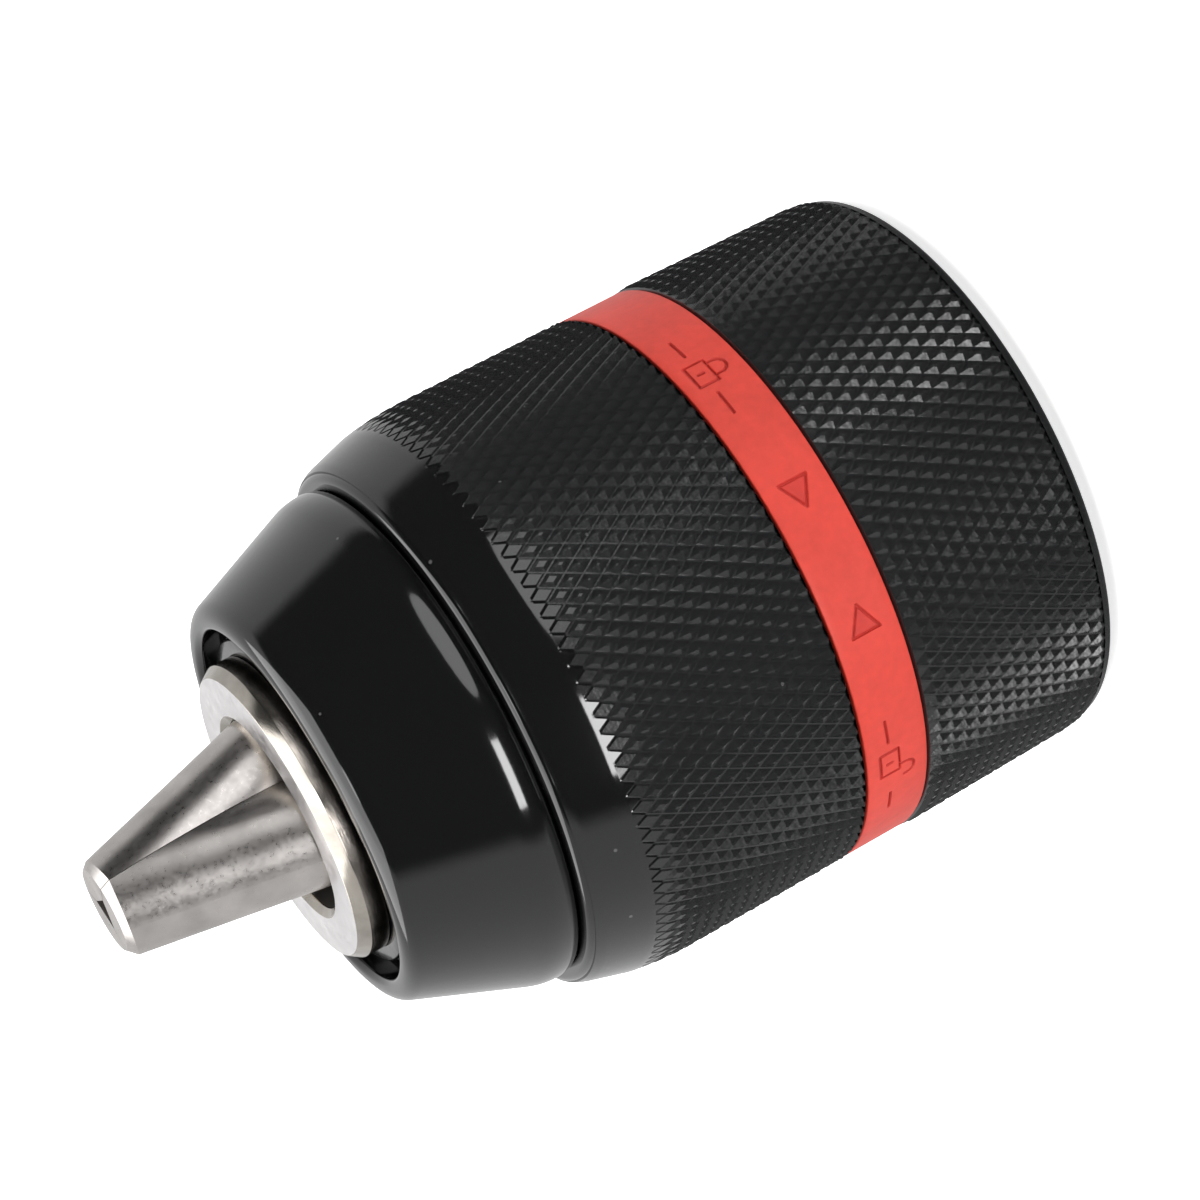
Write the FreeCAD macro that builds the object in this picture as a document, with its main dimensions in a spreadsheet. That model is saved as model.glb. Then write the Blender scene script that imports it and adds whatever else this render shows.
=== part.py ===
import FreeCAD, Part
import Sketcher
import math
import os

# Keyless drill chuck, 1.5 to 13 mm. Millimetres. +Z runs along the spindle towards the jaws and
# the origin is the centre of the body's rear mounting face. The jaws are closed and the sleeve
# is unlocked. Jaw 1 stands in the XZ plane on the +X side.

doc = FreeCAD.newDocument("drill_chuck")
sheet = doc.addObject("Spreadsheet::Sheet", "sizes")

SIZES = [
    # Jaws and their slanted holes
    ("incline", 15.5, "slant of the jaws from the chuck axis, degrees"),
    ("jaw_rad", 4.0, "radius of a jaw"),
    ("jaw_hole_rad", 4.06, "radius of a jaw's hole in the body"),
    ("face_reach", 7.042, "outer reach of a closed jaw at the body face"),
    ("jaw_tip_z", 69.0, "closed jaw tips"),
    ("jaw_rear_z", 29.5, "rear end of a closed jaw, on its own axis"),
    ("jaw_over", 3.0, "length past the tip before the tip is cut flat"),
    ("tip_flat_rad", 3.05, "flat of the closed tips"),
    ("tip_chamfer_rad", 8.0, "wide end of the tip's chamfer cone"),
    ("tip_chamfer_drop", 5.0, "height of the tip's chamfer cone"),
    ("grip_rad", 0.72, "gripping land of a closed jaw from the axis"),
    ("grip_half", 1.20, "half width of the gripping land"),
    ("flat_run", 30.0, "length of the cutter for the jaw's two side flats"),
    ("heel_reach", 13.72, "reach of the closed jaw's rear corner"),
    # Thread between nut and jaws
    ("lead", 2.0, "axial lead of the nut's thread"),
    ("thread_engage", 0.9, "depth to which the nut's crest enters a jaw"),
    ("nut_root_gap", 0.2, "room over the jaw's outer line in the nut's groove"),
    ("nut_mouth_half", 0.70, "half width of the nut's groove at its crest"),
    ("nut_root_half", 0.405, "half width of the nut's groove at its root"),
    ("thread_top", 8.0, "from a jaw's first groove to the top of the nut's thread"),
    ("thread_run", 12.0, "height of the nut's thread"),
    ("tooth_depth", 1.15, "depth of a jaw's groove"),
    ("tooth_mouth_half", 0.66, "half width of a jaw's groove at its outer line"),
    ("tooth_root_half", 0.35, "half width of a jaw's groove at its root"),
    ("tooth_over", 0.8, "height of the groove cutter above the jaw"),
    ("tooth_over_half", 0.88, "half width of the groove cutter at its top"),
    ("tooth_first_z", 29.9, "middle of jaw 1's first groove"),
    ("tooth_count", 13, "grooves in a jaw"),
    ("tooth_run", 24.0, "from a jaw's first groove to its last"),
    ("undercut_end_z", 55.2, "front end of the runout after the last groove"),
    ("tooth_tilt", 1.45, "lean of the grooves, the helix angle of the nut, degrees"),
    # Body
    ("spindle_bore_rad", 5.66, "minor radius of the 1/2 inch 20 UNF spindle thread"),
    ("spindle_bore_z", 16.5, "depth of the spindle thread"),
    ("spindle_cone", 0.7, "countersink of the spindle thread"),
    ("screw_hole_rad", 3.4, "clearance hole of the spindle screw"),
    ("web_z", 20.5, "front of the web that the screw passes"),
    ("tool_bore_rad", 7.2, "bore that takes the tool"),
    ("mouth_rad", 7.6, "chamfered mouth"),
    ("mouth_drop", 0.4, "depth of the mouth's chamfer"),
    ("face_z", 55.75, "front face of the body"),
    ("face_rad", 10.6, "flat of the front face"),
    ("rim_rad", 11.15, "front rim"),
    ("rim_drop", 0.8, "height of the rim's chamfer"),
    ("ring_groove_rad", 10.5, "groove of the retaining ring"),
    ("ring_rear_z", 52.3, "rear of the retaining ring's groove"),
    ("ring_front_z", 53.5, "front of the retaining ring's groove"),
    ("nose_step_z", 50.5, "step behind the front bush"),
    ("nose_body_rad", 13.2, "front of the body ahead of the nut"),
    ("shoulder_body_rad", 14.2, "body just ahead of the nut"),
    ("shoulder_body_z", 42.0, "front end of that shoulder"),
    ("nut_room_front", 34.2, "front of the nut's groove"),
    ("nut_room_rear", 27.8, "rear of the nut's groove"),
    ("core_rad", 11.7, "floor of the nut's groove"),
    ("pilot_rad", 15.8, "seat inside the bearing"),
    ("flange_z", 24.3, "front of the thrust flange"),
    ("flange_rad", 18.8, "thrust flange"),
    ("flange_lip_z", 23.4, "rear of the flange's full width"),
    ("ratchet_seat_rad", 17.4, "seat of the ratchet ring"),
    ("tail_rad", 12.5, "tail of the body"),
    ("boss_rad", 11.4, "rear boss"),
    ("boss_z", 2.5, "length of the rear boss"),
    ("hole_rear_z", 6.0, "rear end of the jaw holes"),
    ("hole_run", 60.0, "length of the jaw holes"),
    # Nose
    ("bush_rad", 13.3, "outside of the front bush"),
    ("bush_bore", 11.2, "inside of the front bush"),
    ("bush_front_z", 52.2, "front of the front bush"),
    ("bush_rear_z", 50.55, "rear of the front bush"),
    ("ring_rad", 12.3, "outside of the retaining ring"),
    ("ring_bore", 10.55, "inside of the retaining ring"),
    ("ring_gap", 0.05, "side play of the retaining ring"),
    ("ring_sweep", 342.0, "turn of the open retaining ring, degrees"),
    ("ring_start", 99.0, "where the open ring begins, degrees"),
    ("cone_bore", 13.4, "bore of the nose cone's lip"),
    ("cone_lip_z", 53.4, "inner edge of the lip"),
    ("cone_tip_z", 54.3, "front of the nose cone"),
    ("cone_tip_rad", 14.0, "foremost circle of the lip"),
    ("cone_front_rad", 15.25, "outside of the lip's rounding"),
    ("cone_front_z", 53.3, "rear of the lip's rounding"),
    ("cone_base_rad", 18.85, "widest circle of the nose cone"),
    ("cone_base_z", 44.6, "height of the widest circle"),
    ("cone_seam_rad", 18.6, "base of the cone at the seam"),
    ("cone_seam_z", 43.35, "base of the nose cone"),
    ("cone_land_z", 49.8, "rear of the cone's land on the bush"),
    ("cone_wall_rad", 16.8, "inside of the cone's shank"),
    ("cone_inner_z", 44.5, "where the cone's inside begins to taper"),
    ("shank_rad", 18.0, "outside of the cone's shank, inside of the nut sleeve"),
    ("shank_z", 36.9, "rear end of the cone's shank"),
    # Nut, its sleeve and the bearing
    ("nut_rad", 18.0, "outside of the nut halves"),
    ("nut_pilot_rad", 9.0, "bore of the nut before its cone is cut"),
    ("nut_rear_z", 28.02, "rear of the nut"),
    ("nut_front_z", 34.0, "front of the nut"),
    ("race_bore", 15.95, "inside of the races"),
    ("race_rad", 18.75, "outside of the races"),
    ("front_race_z", 27.1, "rear of the front race"),
    ("rear_race_z", 25.1, "front of the rear race"),
    ("ball_rad", 0.99, "radius of a ball"),
    ("ball_track_rad", 17.35, "radius of the ball track"),
    ("ball_count", 30, "balls"),
    ("cage_bore", 16.1, "inside of the cage"),
    ("cage_rad", 18.6, "outside of the cage"),
    ("cage_half", 0.55, "half thickness of the cage"),
    ("cage_hole_rad", 1.04, "ball pockets"),
    ("sleeve_bore", 18.95, "inside of the nut sleeve's skirt"),
    ("sleeve_rad", 19.5, "outside of the nut sleeve"),
    ("sleeve_rear_z", 20.0, "rear end of the nut sleeve"),
    ("sleeve_front_z", 41.0, "front end of the nut sleeve"),
    # Lock
    ("ratchet_tip_rad", 18.45, "tips of the ratchet's teeth"),
    ("ratchet_root_rad", 17.95, "roots of the ratchet's teeth"),
    ("ratchet_over_rad", 18.7, "reach of the tooth cutter"),
    ("ratchet_rear_z", 20.9, "rear of the ratchet ring"),
    ("ratchet_front_z", 23.35, "front of the ratchet ring"),
    ("ratchet_back", -5.5, "top end of a tooth's slope, degrees"),
    ("ratchet_floor", -1.2, "low end of a tooth's slope, degrees"),
    ("ratchet_count", 60, "teeth"),
    ("window_rear_z", 21.95, "rear of the lock windows"),
    ("window_front_z", 23.35, "front of the lock windows"),
    ("lock_rear_z", 22.0, "rear of the pawl and the detent spring"),
    ("lock_front_z", 23.3, "front of the pawl and the detent spring"),
    ("lock_outer_rad", 19.45, "outside of the pawl's leaf"),
    ("lock_inner_rad", 18.97, "inside of the pawl's leaf"),
    ("pawl_eye_rad", 0.3, "round root that the pawl swings on"),
    ("pawl_tip_rad", 18.55, "end of the pawl's tooth"),
    ("bump_rad", 19.93, "top of the bumps"),
    ("window_start", -1.0, "start of a lock window past its leaf, degrees"),
    ("window_sweep", 29.0, "turn of a lock window, degrees"),
    ("pawl_start", -0.5, "root of the pawl, degrees"),
    ("pawl_sweep", 25.5, "turn of the pawl, degrees"),
    ("pawl_tip_start", 23.4, "start of the pawl's tooth, degrees"),
    ("pawl_tip_sweep", 1.6, "turn of the pawl's tooth, degrees"),
    ("bump_start", 14.0, "start of the bump, degrees"),
    ("bump_sweep", 2.5, "turn of the bump, degrees"),
    ("pawl_at", 40.5, "place of the pawl's root about the axis, degrees"),
    ("detent_at", 220.5, "place of the detent spring's root, degrees"),
    ("cam_rad", 19.84, "radius of the shell's cam"),
    ("cam_shift_x", 0.303, "offset of the cam's centre along its own X"),
    ("cam_shift_y", -0.575, "offset of the cam's centre along its own Y"),
    ("cam_start", 13.0, "start of the cam past the pawl's root, degrees"),
    ("cam_sweep", 29.5, "turn of the cam, degrees"),
    ("track_start", 193.0, "start of the detent's groove, degrees"),
    ("track_rad", 20.0, "floor of the detent's groove"),
    ("dog_rad", 19.95, "reach of the nut sleeve's dogs"),
    ("dog_rear_z", 36.6, "rear of the dogs"),
    ("dog_front_z", 39.6, "front of the dogs"),
    ("dog_sweep", 20.0, "turn of a dog, degrees"),
    ("slot_rad", 20.02, "floor of the dogs' slots"),
    ("slot_rear_z", 36.4, "rear of the dogs' slots"),
    ("slot_front_z", 39.8, "front of the dogs' slots"),
    ("slot_start", -1.5, "start of a slot before its dog, degrees"),
    ("slot_sweep", 45.0, "turn of a slot, degrees"),
    # Sleeve shells
    ("shell_bore", 19.6, "inside of the front shell"),
    ("skirt_rad", 20.2, "outside of the front shell's skirt"),
    ("skirt_z", 12.5, "rear end of the skirt"),
    ("shell_rear_z", 21.85, "rear of the front shell's knurled part"),
    ("shell_rad", 21.35, "front shell at the band"),
    ("knurl_end_z", 38.0, "front end of the knurl"),
    ("knurl_end_rad", 21.05, "front shell where the knurl ends"),
    ("shoulder_z", 38.9, "start of the shoulder"),
    ("shoulder_rad", 20.9, "start of the shoulder, outside"),
    ("brow_z", 41.9, "front end of the shoulder"),
    ("brow_rad", 20.05, "front end of the shoulder, outside"),
    ("lip_z", 43.1, "front end of the front shell"),
    ("lip_rad", 19.45, "front end of the front shell, outside"),
    ("lip_bore", 18.3, "front end of the front shell, inside"),
    ("lip_inner_z", 41.15, "inner face of the front shell's lip"),
    ("band_rear_z", 17.0, "rear of the indicator band"),
    ("band_front_z", 21.8, "front of the indicator band"),
    ("band_rad", 21.3, "outside of the indicator band"),
    ("rear_front_z", 16.9, "front of the rear shell"),
    ("rear_front_rad", 21.5, "rear shell at the band"),
    ("rear_rear_rad", 21.25, "rear shell where its edge is rounded"),
    ("rear_edge_z", 1.5, "start of the rear edge's rounding"),
    ("rear_edge_rad", 20.75, "rear end of the rear shell"),
    ("rear_z", 1.0, "rear end of the sleeve"),
    ("rear_bore", 19.75, "inside of the rear shell"),
    ("rear_lip_z", 2.6, "front of the rear lip"),
    ("rear_lip_rad", 18.9, "inside of the rear lip"),
    ("cover_rad", 18.6, "outside of the rear cover"),
    ("cover_bore", 11.4, "inside of the rear cover"),
    ("cover_rear_z", 1.3, "rear of the rear cover"),
    ("cover_front_z", 2.5, "front of the rear cover"),
]

for row, (alias, amount, meaning) in enumerate(SIZES, start=1):
    sheet.set("A%d" % row, meaning)
    sheet.set("B%d" % row, str(amount))
    sheet.setAlias("B%d" % row, alias)
doc.recompute()


def total(text):
    """Value and expression of a sum of aliases, such as 'face_z - mouth_drop'."""
    amount = 0.0
    sign = 1.0
    words = []
    for word in text.split():
        if word in ("+", "-"):
            sign = 1.0 if word == "+" else -1.0
            words.append(word)
        elif word == "0":
            words.append(word)
        else:
            amount += sign * sheet.get(word)
            words.append("sizes." + word)
    return amount, " ".join(words)


def reach(text, thirds=0):
    """Outer reach of a closed jaw at a height: the cone that the jaws' outer lines share."""
    height, words = total(text)
    if thirds:
        height += sheet.get("lead") * thirds / 3.0
        words = "%s + sizes.lead * %d / 3" % (words, thirds)
    slope = math.tan(math.radians(sheet.get("incline")))
    amount = sheet.get("face_reach") + (sheet.get("face_z") - height) * slope
    form = "sizes.face_reach + (sizes.face_z - (%s)) * tan(sizes.incline * 1deg)"
    return amount, form % words


def shifted(coordinate, text):
    """A coordinate moved by a sum of aliases."""
    amount, words = total(text)
    return coordinate[0] + amount, "%s + (%s)" % (coordinate[1], words)


def polar(radius, angle):
    """Two coordinates of a point given by aliases of its radius and angle."""
    turn = math.radians(sheet.get(angle))
    form = "sizes.%s * %s(sizes.%s * 1deg)"
    across = (sheet.get(radius) * math.cos(turn), form % (radius, "cos", angle))
    along = (sheet.get(radius) * math.sin(turn), form % (radius, "sin", angle))
    return across, along


def ring_corners(inner, outer, rear, front):
    """Corners of a plain ring's section, from aliases."""
    low, high = total(inner), total(outer)
    back, ahead = total(rear), total(front)
    return [(low, back), (high, back), (high, ahead), (low, ahead)]


def corners_of(pairs):
    """Corners from pairs of sums."""
    return [(total(across), total(along)) for across, along in pairs]


def new_body(label):
    """An empty body with its own label."""
    body = doc.addObject("PartDesign::Body", label)
    body.Label = label
    return body


def plane(body, role):
    """One of the body's own origin planes."""
    return [item for item in body.Origin.OriginFeatures if item.Role == role][0]


def new_sketch(body, name, role, base=(), turn_axis=None, turn=None):
    """Sketch on an origin plane, moved by sums (x, y, z) and turned by an alias in degrees."""
    sketch = body.newObject("Sketcher::SketchObject", name)
    sketch.AttachmentSupport = (plane(body, role), [""])
    sketch.MapMode = "FlatFace"
    if turn_axis is not None:
        sketch.AttachmentOffset = FreeCAD.Placement(
            FreeCAD.Vector(), FreeCAD.Rotation(FreeCAD.Vector(*turn_axis), sheet.get(turn)))
        sketch.setExpression("AttachmentOffset.Rotation.Angle", "sizes.%s * 1deg" % turn)
    for letter, words in zip("xyz", base):
        if words is not None:
            sketch.setExpression("AttachmentOffset.Base." + letter, words)
    return sketch


def draw(sketch, corners):
    """Closed outline through corners, each held by its two expressions."""
    points = [FreeCAD.Vector(across[0], along[0], 0) for across, along in corners]
    count = len(points)
    for i in range(count):
        sketch.addGeometry(Part.LineSegment(points[i], points[(i + 1) % count]), False)
    for i in range(count):
        sketch.addConstraint(Sketcher.Constraint("Coincident", i, 2, (i + 1) % count, 1))
    for i, (across, along) in enumerate(corners):
        for kind, axis, (amount, words) in (("DistanceX", -2, across), ("DistanceY", -1, along)):
            if words == "0":
                sketch.addConstraint(Sketcher.Constraint("PointOnObject", i, 1, axis))
            else:
                index = sketch.addConstraint(Sketcher.Constraint(kind, -1, 1, i, 1, amount))
                sketch.setExpression("Constraints[%d]" % index, words)


def revolve(body, kind, sketch, sweep=None):
    """Revolution or Groove about the sketch's upright axis, whole or by an alias of degrees."""
    feature = body.newObject("PartDesign::" + kind, sketch.Name + "_turned")
    feature.Profile = sketch
    feature.ReferenceAxis = (sketch, ["V_Axis"])
    feature.Angle = 360.0
    if sweep is not None:
        feature.setExpression("Angle", "sizes.%s * 1deg" % sweep)
    sketch.Visibility = False
    return feature


def turned(label, corners):
    """A lathe-turned piece."""
    body = new_body(label)
    sketch = new_sketch(body, label + "_section", "XZ_Plane")
    draw(sketch, corners)
    revolve(body, "Revolution", sketch)
    doc.recompute()
    return body


def sector(body, name, kind, corners, start, sweep, base=()):
    """Adds or cuts part of a ring: a section that begins at an angle and sweeps round."""
    sketch = new_sketch(body, name, "XZ_Plane", base, (0, 1, 0), start)
    draw(sketch, corners)
    before = body.Shape.Volume
    feature = revolve(body, kind, sketch, sweep)
    doc.recompute()
    if abs(body.Shape.Volume - before) < 1e-4:
        raise RuntimeError(name + " changed nothing")
    return feature


def repeat(body, feature, count):
    """Polar pattern of a feature about the chuck axis."""
    pattern = body.newObject("PartDesign::PolarPattern", feature.Name + "_all")
    pattern.Originals = [feature]
    axis = [item for item in body.Origin.OriginFeatures if item.Role == "Z_Axis"][0]
    pattern.Axis = (axis, [""])
    pattern.Angle = 360
    pattern.Occurrences = count
    body.Tip = pattern
    doc.recompute()
    return pattern


def cut_through(body, sketch, depth):
    """Pocket both ways from the sketch by a length."""
    before = body.Shape.Volume
    pocket = body.newObject("PartDesign::Pocket", sketch.Name + "_cut")
    pocket.Profile = sketch
    pocket.Type = "Length"
    pocket.SideType = "Symmetric"
    pocket.Length = depth
    doc.recompute()
    if body.Shape.Volume > before - 1e-4:
        raise RuntimeError(sketch.Name + " cut nothing")
    return pocket


def stand(body, degrees):
    """Turns a piece to its place about the chuck axis."""
    body.Placement = FreeCAD.Placement(
        FreeCAD.Vector(), FreeCAD.Rotation(FreeCAD.Vector(0, 0, 1), degrees))


# Chuck body: one turned steel piece with three slanted jaw holes, a thrust flange behind the
# nut, an open groove for the split nut and the spindle thread's bore in its tail.
body = turned("chuck_body", corners_of([
    ("spindle_bore_rad + spindle_cone", "0"),
    ("boss_rad", "0"),
    ("boss_rad", "boss_z"),
    ("tail_rad", "boss_z"),
    ("tail_rad", "web_z"),
    ("ratchet_seat_rad", "web_z"),
    ("ratchet_seat_rad", "flange_lip_z"),
    ("flange_rad", "flange_lip_z"),
    ("flange_rad", "flange_z"),
    ("race_bore", "flange_z"),
    ("race_bore", "rear_race_z"),
    ("pilot_rad", "rear_race_z"),
    ("pilot_rad", "nut_room_rear"),
    ("core_rad", "nut_room_rear"),
    ("core_rad", "nut_room_front"),
    ("shoulder_body_rad", "nut_room_front"),
    ("shoulder_body_rad", "shoulder_body_z"),
    ("nose_body_rad", "shoulder_body_z"),
    ("nose_body_rad", "nose_step_z"),
    ("rim_rad", "nose_step_z"),
    ("rim_rad", "ring_rear_z"),
    ("ring_groove_rad", "ring_rear_z"),
    ("ring_groove_rad", "ring_front_z"),
    ("rim_rad", "ring_front_z"),
    ("rim_rad", "face_z - rim_drop"),
    ("face_rad", "face_z"),
    ("mouth_rad", "face_z"),
    ("tool_bore_rad", "face_z - mouth_drop"),
    ("tool_bore_rad", "web_z"),
    ("screw_hole_rad", "web_z"),
    ("screw_hole_rad", "spindle_bore_z"),
    ("spindle_bore_rad", "spindle_bore_z"),
    ("spindle_bore_rad", "spindle_cone"),
]))
hole = new_sketch(
    body, "jaw_hole_section", "XZ_Plane",
    ("sizes.face_reach - sizes.jaw_rad / cos(sizes.incline * 1deg)"
     " + (sizes.face_z - sizes.hole_rear_z) * tan(sizes.incline * 1deg)",
     "sizes.hole_rear_z", None),
    (0, 0, 1), "incline")
draw(hole, ring_corners("0", "jaw_hole_rad", "0", "hole_run"))
solid_volume = body.Shape.Volume
first_hole = revolve(body, "Groove", hole)
doc.recompute()
if body.Shape.Volume > solid_volume - 1:
    raise RuntimeError("the jaw hole cut nothing")
repeat(body, first_hole, 3)

# Jaws: ground steel pins with two side flats that meet the neighbours' flats, a narrow gripping
# land, a chamfered tip and slanted grooves outside that the nut's thread turns in. The grooves of
# jaws 2 and 3 stand a third of the lead ahead of and behind those of jaw 1.
for number, thirds in ((1, 0), (2, 1), (3, -1)):
    jaw = new_body("jaw_%d" % number)
    rod = new_sketch(
        jaw, "jaw_%d_rod" % number, "XZ_Plane",
        ("sizes.face_reach - sizes.jaw_rad / cos(sizes.incline * 1deg)"
         " + (sizes.face_z - sizes.jaw_rear_z) * tan(sizes.incline * 1deg)",
         "sizes.jaw_rear_z", None),
        (0, 0, 1), "incline")
    rod_length = "(sizes.jaw_tip_z - sizes.jaw_rear_z) / cos(sizes.incline * 1deg)"
    rod_amount = ((sheet.get("jaw_tip_z") - sheet.get("jaw_rear_z"))
                  / math.cos(math.radians(sheet.get("incline"))))
    rod_end = shifted((rod_amount, rod_length), "jaw_over")
    nought, side = total("0"), total("jaw_rad")
    draw(rod, [(nought, nought), (side, nought), (side, rod_end), (nought, rod_end)])
    revolve(jaw, "Revolution", rod)
    doc.recompute()

    flats = new_sketch(jaw, "jaw_%d_flats" % number, "XY_Plane")
    slope = math.tan(math.radians(60))
    run = sheet.get("flat_run")
    rise = (sheet.get("grip_half") + run * slope,
            "sizes.grip_half + sizes.flat_run * tan(60deg)")
    fall = (-rise[0], "-(%s)" % rise[1])
    grip = total("grip_rad")
    far = shifted(grip, "flat_run")
    back = (-run, "-sizes.flat_run")
    half = total("grip_half")
    other_half = (-half[0], "-sizes.grip_half")
    draw(flats, [(grip, half), (far, rise), (back, rise), (back, fall), (far, fall),
                 (grip, other_half)])
    cut_through(jaw, flats, 300)

    heel = new_sketch(jaw, "jaw_%d_heel" % number, "XY_Plane")
    draw(heel, [(total("heel_reach"), back), (total("heel_reach + flat_run"), back),
                (total("heel_reach + flat_run"), total("flat_run")),
                (total("heel_reach"), total("flat_run"))])
    cut_through(jaw, heel, 300)

    tip = new_sketch(jaw, "jaw_%d_tip" % number, "XZ_Plane")
    draw(tip, corners_of([
        ("0", "jaw_tip_z"),
        ("tip_flat_rad", "jaw_tip_z"),
        ("tip_chamfer_rad", "jaw_tip_z - tip_chamfer_drop"),
        ("tip_chamfer_rad", "jaw_tip_z + tip_chamfer_drop"),
        ("0", "jaw_tip_z + tip_chamfer_drop"),
    ]))
    revolve(jaw, "Groove", tip)
    doc.recompute()

    tooth = new_sketch(
        jaw, "jaw_%d_tooth" % number, "XZ_Plane",
        (None, "sizes.tooth_first_z + sizes.lead * %d / 3" % thirds, None),
        (1, 0, 0), "tooth_tilt")
    outer_line = reach("tooth_first_z", thirds)
    root_line = shifted(outer_line, "0 - tooth_depth")
    over_line = shifted(outer_line, "tooth_over")
    draw(tooth, [
        (root_line, total("0 - tooth_root_half")),
        (outer_line, total("0 - tooth_mouth_half")),
        (over_line, total("0 - tooth_over_half")),
        (over_line, total("tooth_over_half")),
        (outer_line, total("tooth_mouth_half")),
        (root_line, total("tooth_root_half")),
    ])
    before = jaw.Shape.Volume
    groove = revolve(jaw, "Groove", tooth)
    doc.recompute()
    pattern = jaw.newObject("PartDesign::LinearPattern", "jaw_%d_teeth" % number)
    pattern.Originals = [groove]
    pattern.Direction = (rod, ["V_Axis"])
    pitch = "sizes.lead / cos(sizes.incline * 1deg)"
    pattern.setExpression("Length", "(sizes.tooth_count - 1) * " + pitch)
    pattern.Occurrences = int(sheet.get("tooth_count"))
    jaw.Tip = pattern
    doc.recompute()
    if jaw.Shape.Volume > before - 1:
        raise RuntimeError("jaw teeth cut nothing")

    runout = new_sketch(jaw, "jaw_%d_runout" % number, "XZ_Plane")
    last = "tooth_first_z + tooth_run"
    rear_line, front_line = reach(last, thirds), reach("undercut_end_z")
    last_z = shifted((total(last)[0] + sheet.get("lead") * thirds / 3.0,
                      "%s + sizes.lead * %d / 3" % (total(last)[1], thirds)), "0")
    end_z = total("undercut_end_z")
    draw(runout, [
        (shifted(rear_line, "0 - tooth_depth"), last_z),
        (shifted(rear_line, "tooth_over"), last_z),
        (shifted(front_line, "tooth_over"), end_z),
        (shifted(front_line, "0 - tooth_depth"), end_z),
    ])
    revolve(jaw, "Groove", runout)
    doc.recompute()
    stand(jaw, 120 * (number - 1))

# Split nut: a ring with a conical bore and a right-hand thread on that cone, broken in two so
# that it closes round the body's groove.
blank = turned("nut_blank", ring_corners("nut_pilot_rad", "nut_rad", "nut_rear_z", "nut_front_z"))


def conical_thread():
    """The nut's groove: a trapezoid swept down a helix that widens towards the rear."""
    slant = math.radians(sheet.get("incline"))
    top = sheet.get("tooth_first_z") + sheet.get("lead") / 2 + sheet.get("thread_top")
    line = reach("tooth_first_z")[0]
    line -= (top - sheet.get("tooth_first_z")) * math.tan(slant)
    helix = Part.makeHelix(
        sheet.get("lead") / math.cos(slant), sheet.get("thread_run") / math.cos(slant),
        line, sheet.get("incline"))
    helix.rotate(FreeCAD.Vector(), FreeCAD.Vector(1, 0, 0), 180)
    helix.translate(FreeCAD.Vector(0, 0, top))
    crest = line - sheet.get("thread_engage") - sheet.get("nut_root_gap")
    root = line + sheet.get("nut_root_gap")
    mouth, floor = sheet.get("nut_mouth_half"), sheet.get("nut_root_half")
    shape = [(crest, top - mouth), (root, top - floor), (root, top + floor), (crest, top + mouth)]
    points = [FreeCAD.Vector(across, 0, along) for across, along in shape]
    outline = Part.Wire(Part.makePolygon(points + points[:1]))
    return helix.makePipeShell([outline], True, True)


thread = doc.addObject("Part::Feature", "nut_thread")
thread.Shape = conical_thread()
grooved = doc.addObject("Part::Cut", "grooved_nut")
grooved.Base = blank
grooved.Tool = thread
bore = doc.addObject("Part::Cone", "nut_bore")
cone_low = "(sizes.nut_rear_z - sizes.lead)"
cone_high = "(sizes.nut_front_z + sizes.lead)"
bore_rad = ("sizes.face_reach - sizes.thread_engage"
            " + (sizes.face_z - %s) * tan(sizes.incline * 1deg)")
bore.setExpression("Radius1", bore_rad % cone_low)
bore.setExpression("Radius2", bore_rad % cone_high)
bore.setExpression("Height", "%s - %s" % (cone_high, cone_low))
bore.setExpression("Placement.Base.z", cone_low)
threaded = doc.addObject("Part::Cut", "threaded_nut")
threaded.Base = grooved
threaded.Tool = bore
split = doc.addObject("Part::Box", "nut_split")
split.setExpression("Length", "2 * sizes.flat_run")
split.setExpression("Width", "sizes.flat_run")
split.setExpression("Height", "2 * sizes.flat_run")
split.setExpression("Placement.Base.x", "-sizes.flat_run")
for letter, kind in (("a", "Part::Common"), ("b", "Part::Cut")):
    half = doc.addObject(kind, "nut_half_" + letter)
    half.Label = "nut_half_" + letter
    half.Base = threaded
    half.Tool = split
doc.recompute()
if grooved.Shape.Volume > blank.Shape.Volume - 1:
    raise RuntimeError("the nut's thread cut nothing")

# Nut sleeve: steel sleeve pressed over the nut. Its skirt covers the bearing and has a window
# each for the pawl and the detent spring; three dogs outside drive the sleeve's front shell.
nut_sleeve = turned("nut_sleeve", corners_of([
    ("sleeve_bore", "sleeve_rear_z"),
    ("sleeve_rad", "sleeve_rear_z"),
    ("sleeve_rad", "sleeve_front_z"),
    ("shank_rad", "sleeve_front_z"),
    ("shank_rad", "nut_rear_z"),
    ("sleeve_bore", "nut_rear_z"),
]))
window = sector(
    nut_sleeve, "lock_window", "Groove",
    ring_corners("ratchet_over_rad", "bump_rad", "window_rear_z", "window_front_z"),
    "window_start", "window_sweep")
repeat(nut_sleeve, window, 2)
stand(nut_sleeve, sheet.get("pawl_at"))
dog = sector(
    nut_sleeve, "dog", "Revolution",
    ring_corners("sleeve_rad - nut_root_gap", "dog_rad", "dog_rear_z", "dog_front_z"),
    "window_start", "dog_sweep")
repeat(nut_sleeve, dog, 3)

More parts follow.
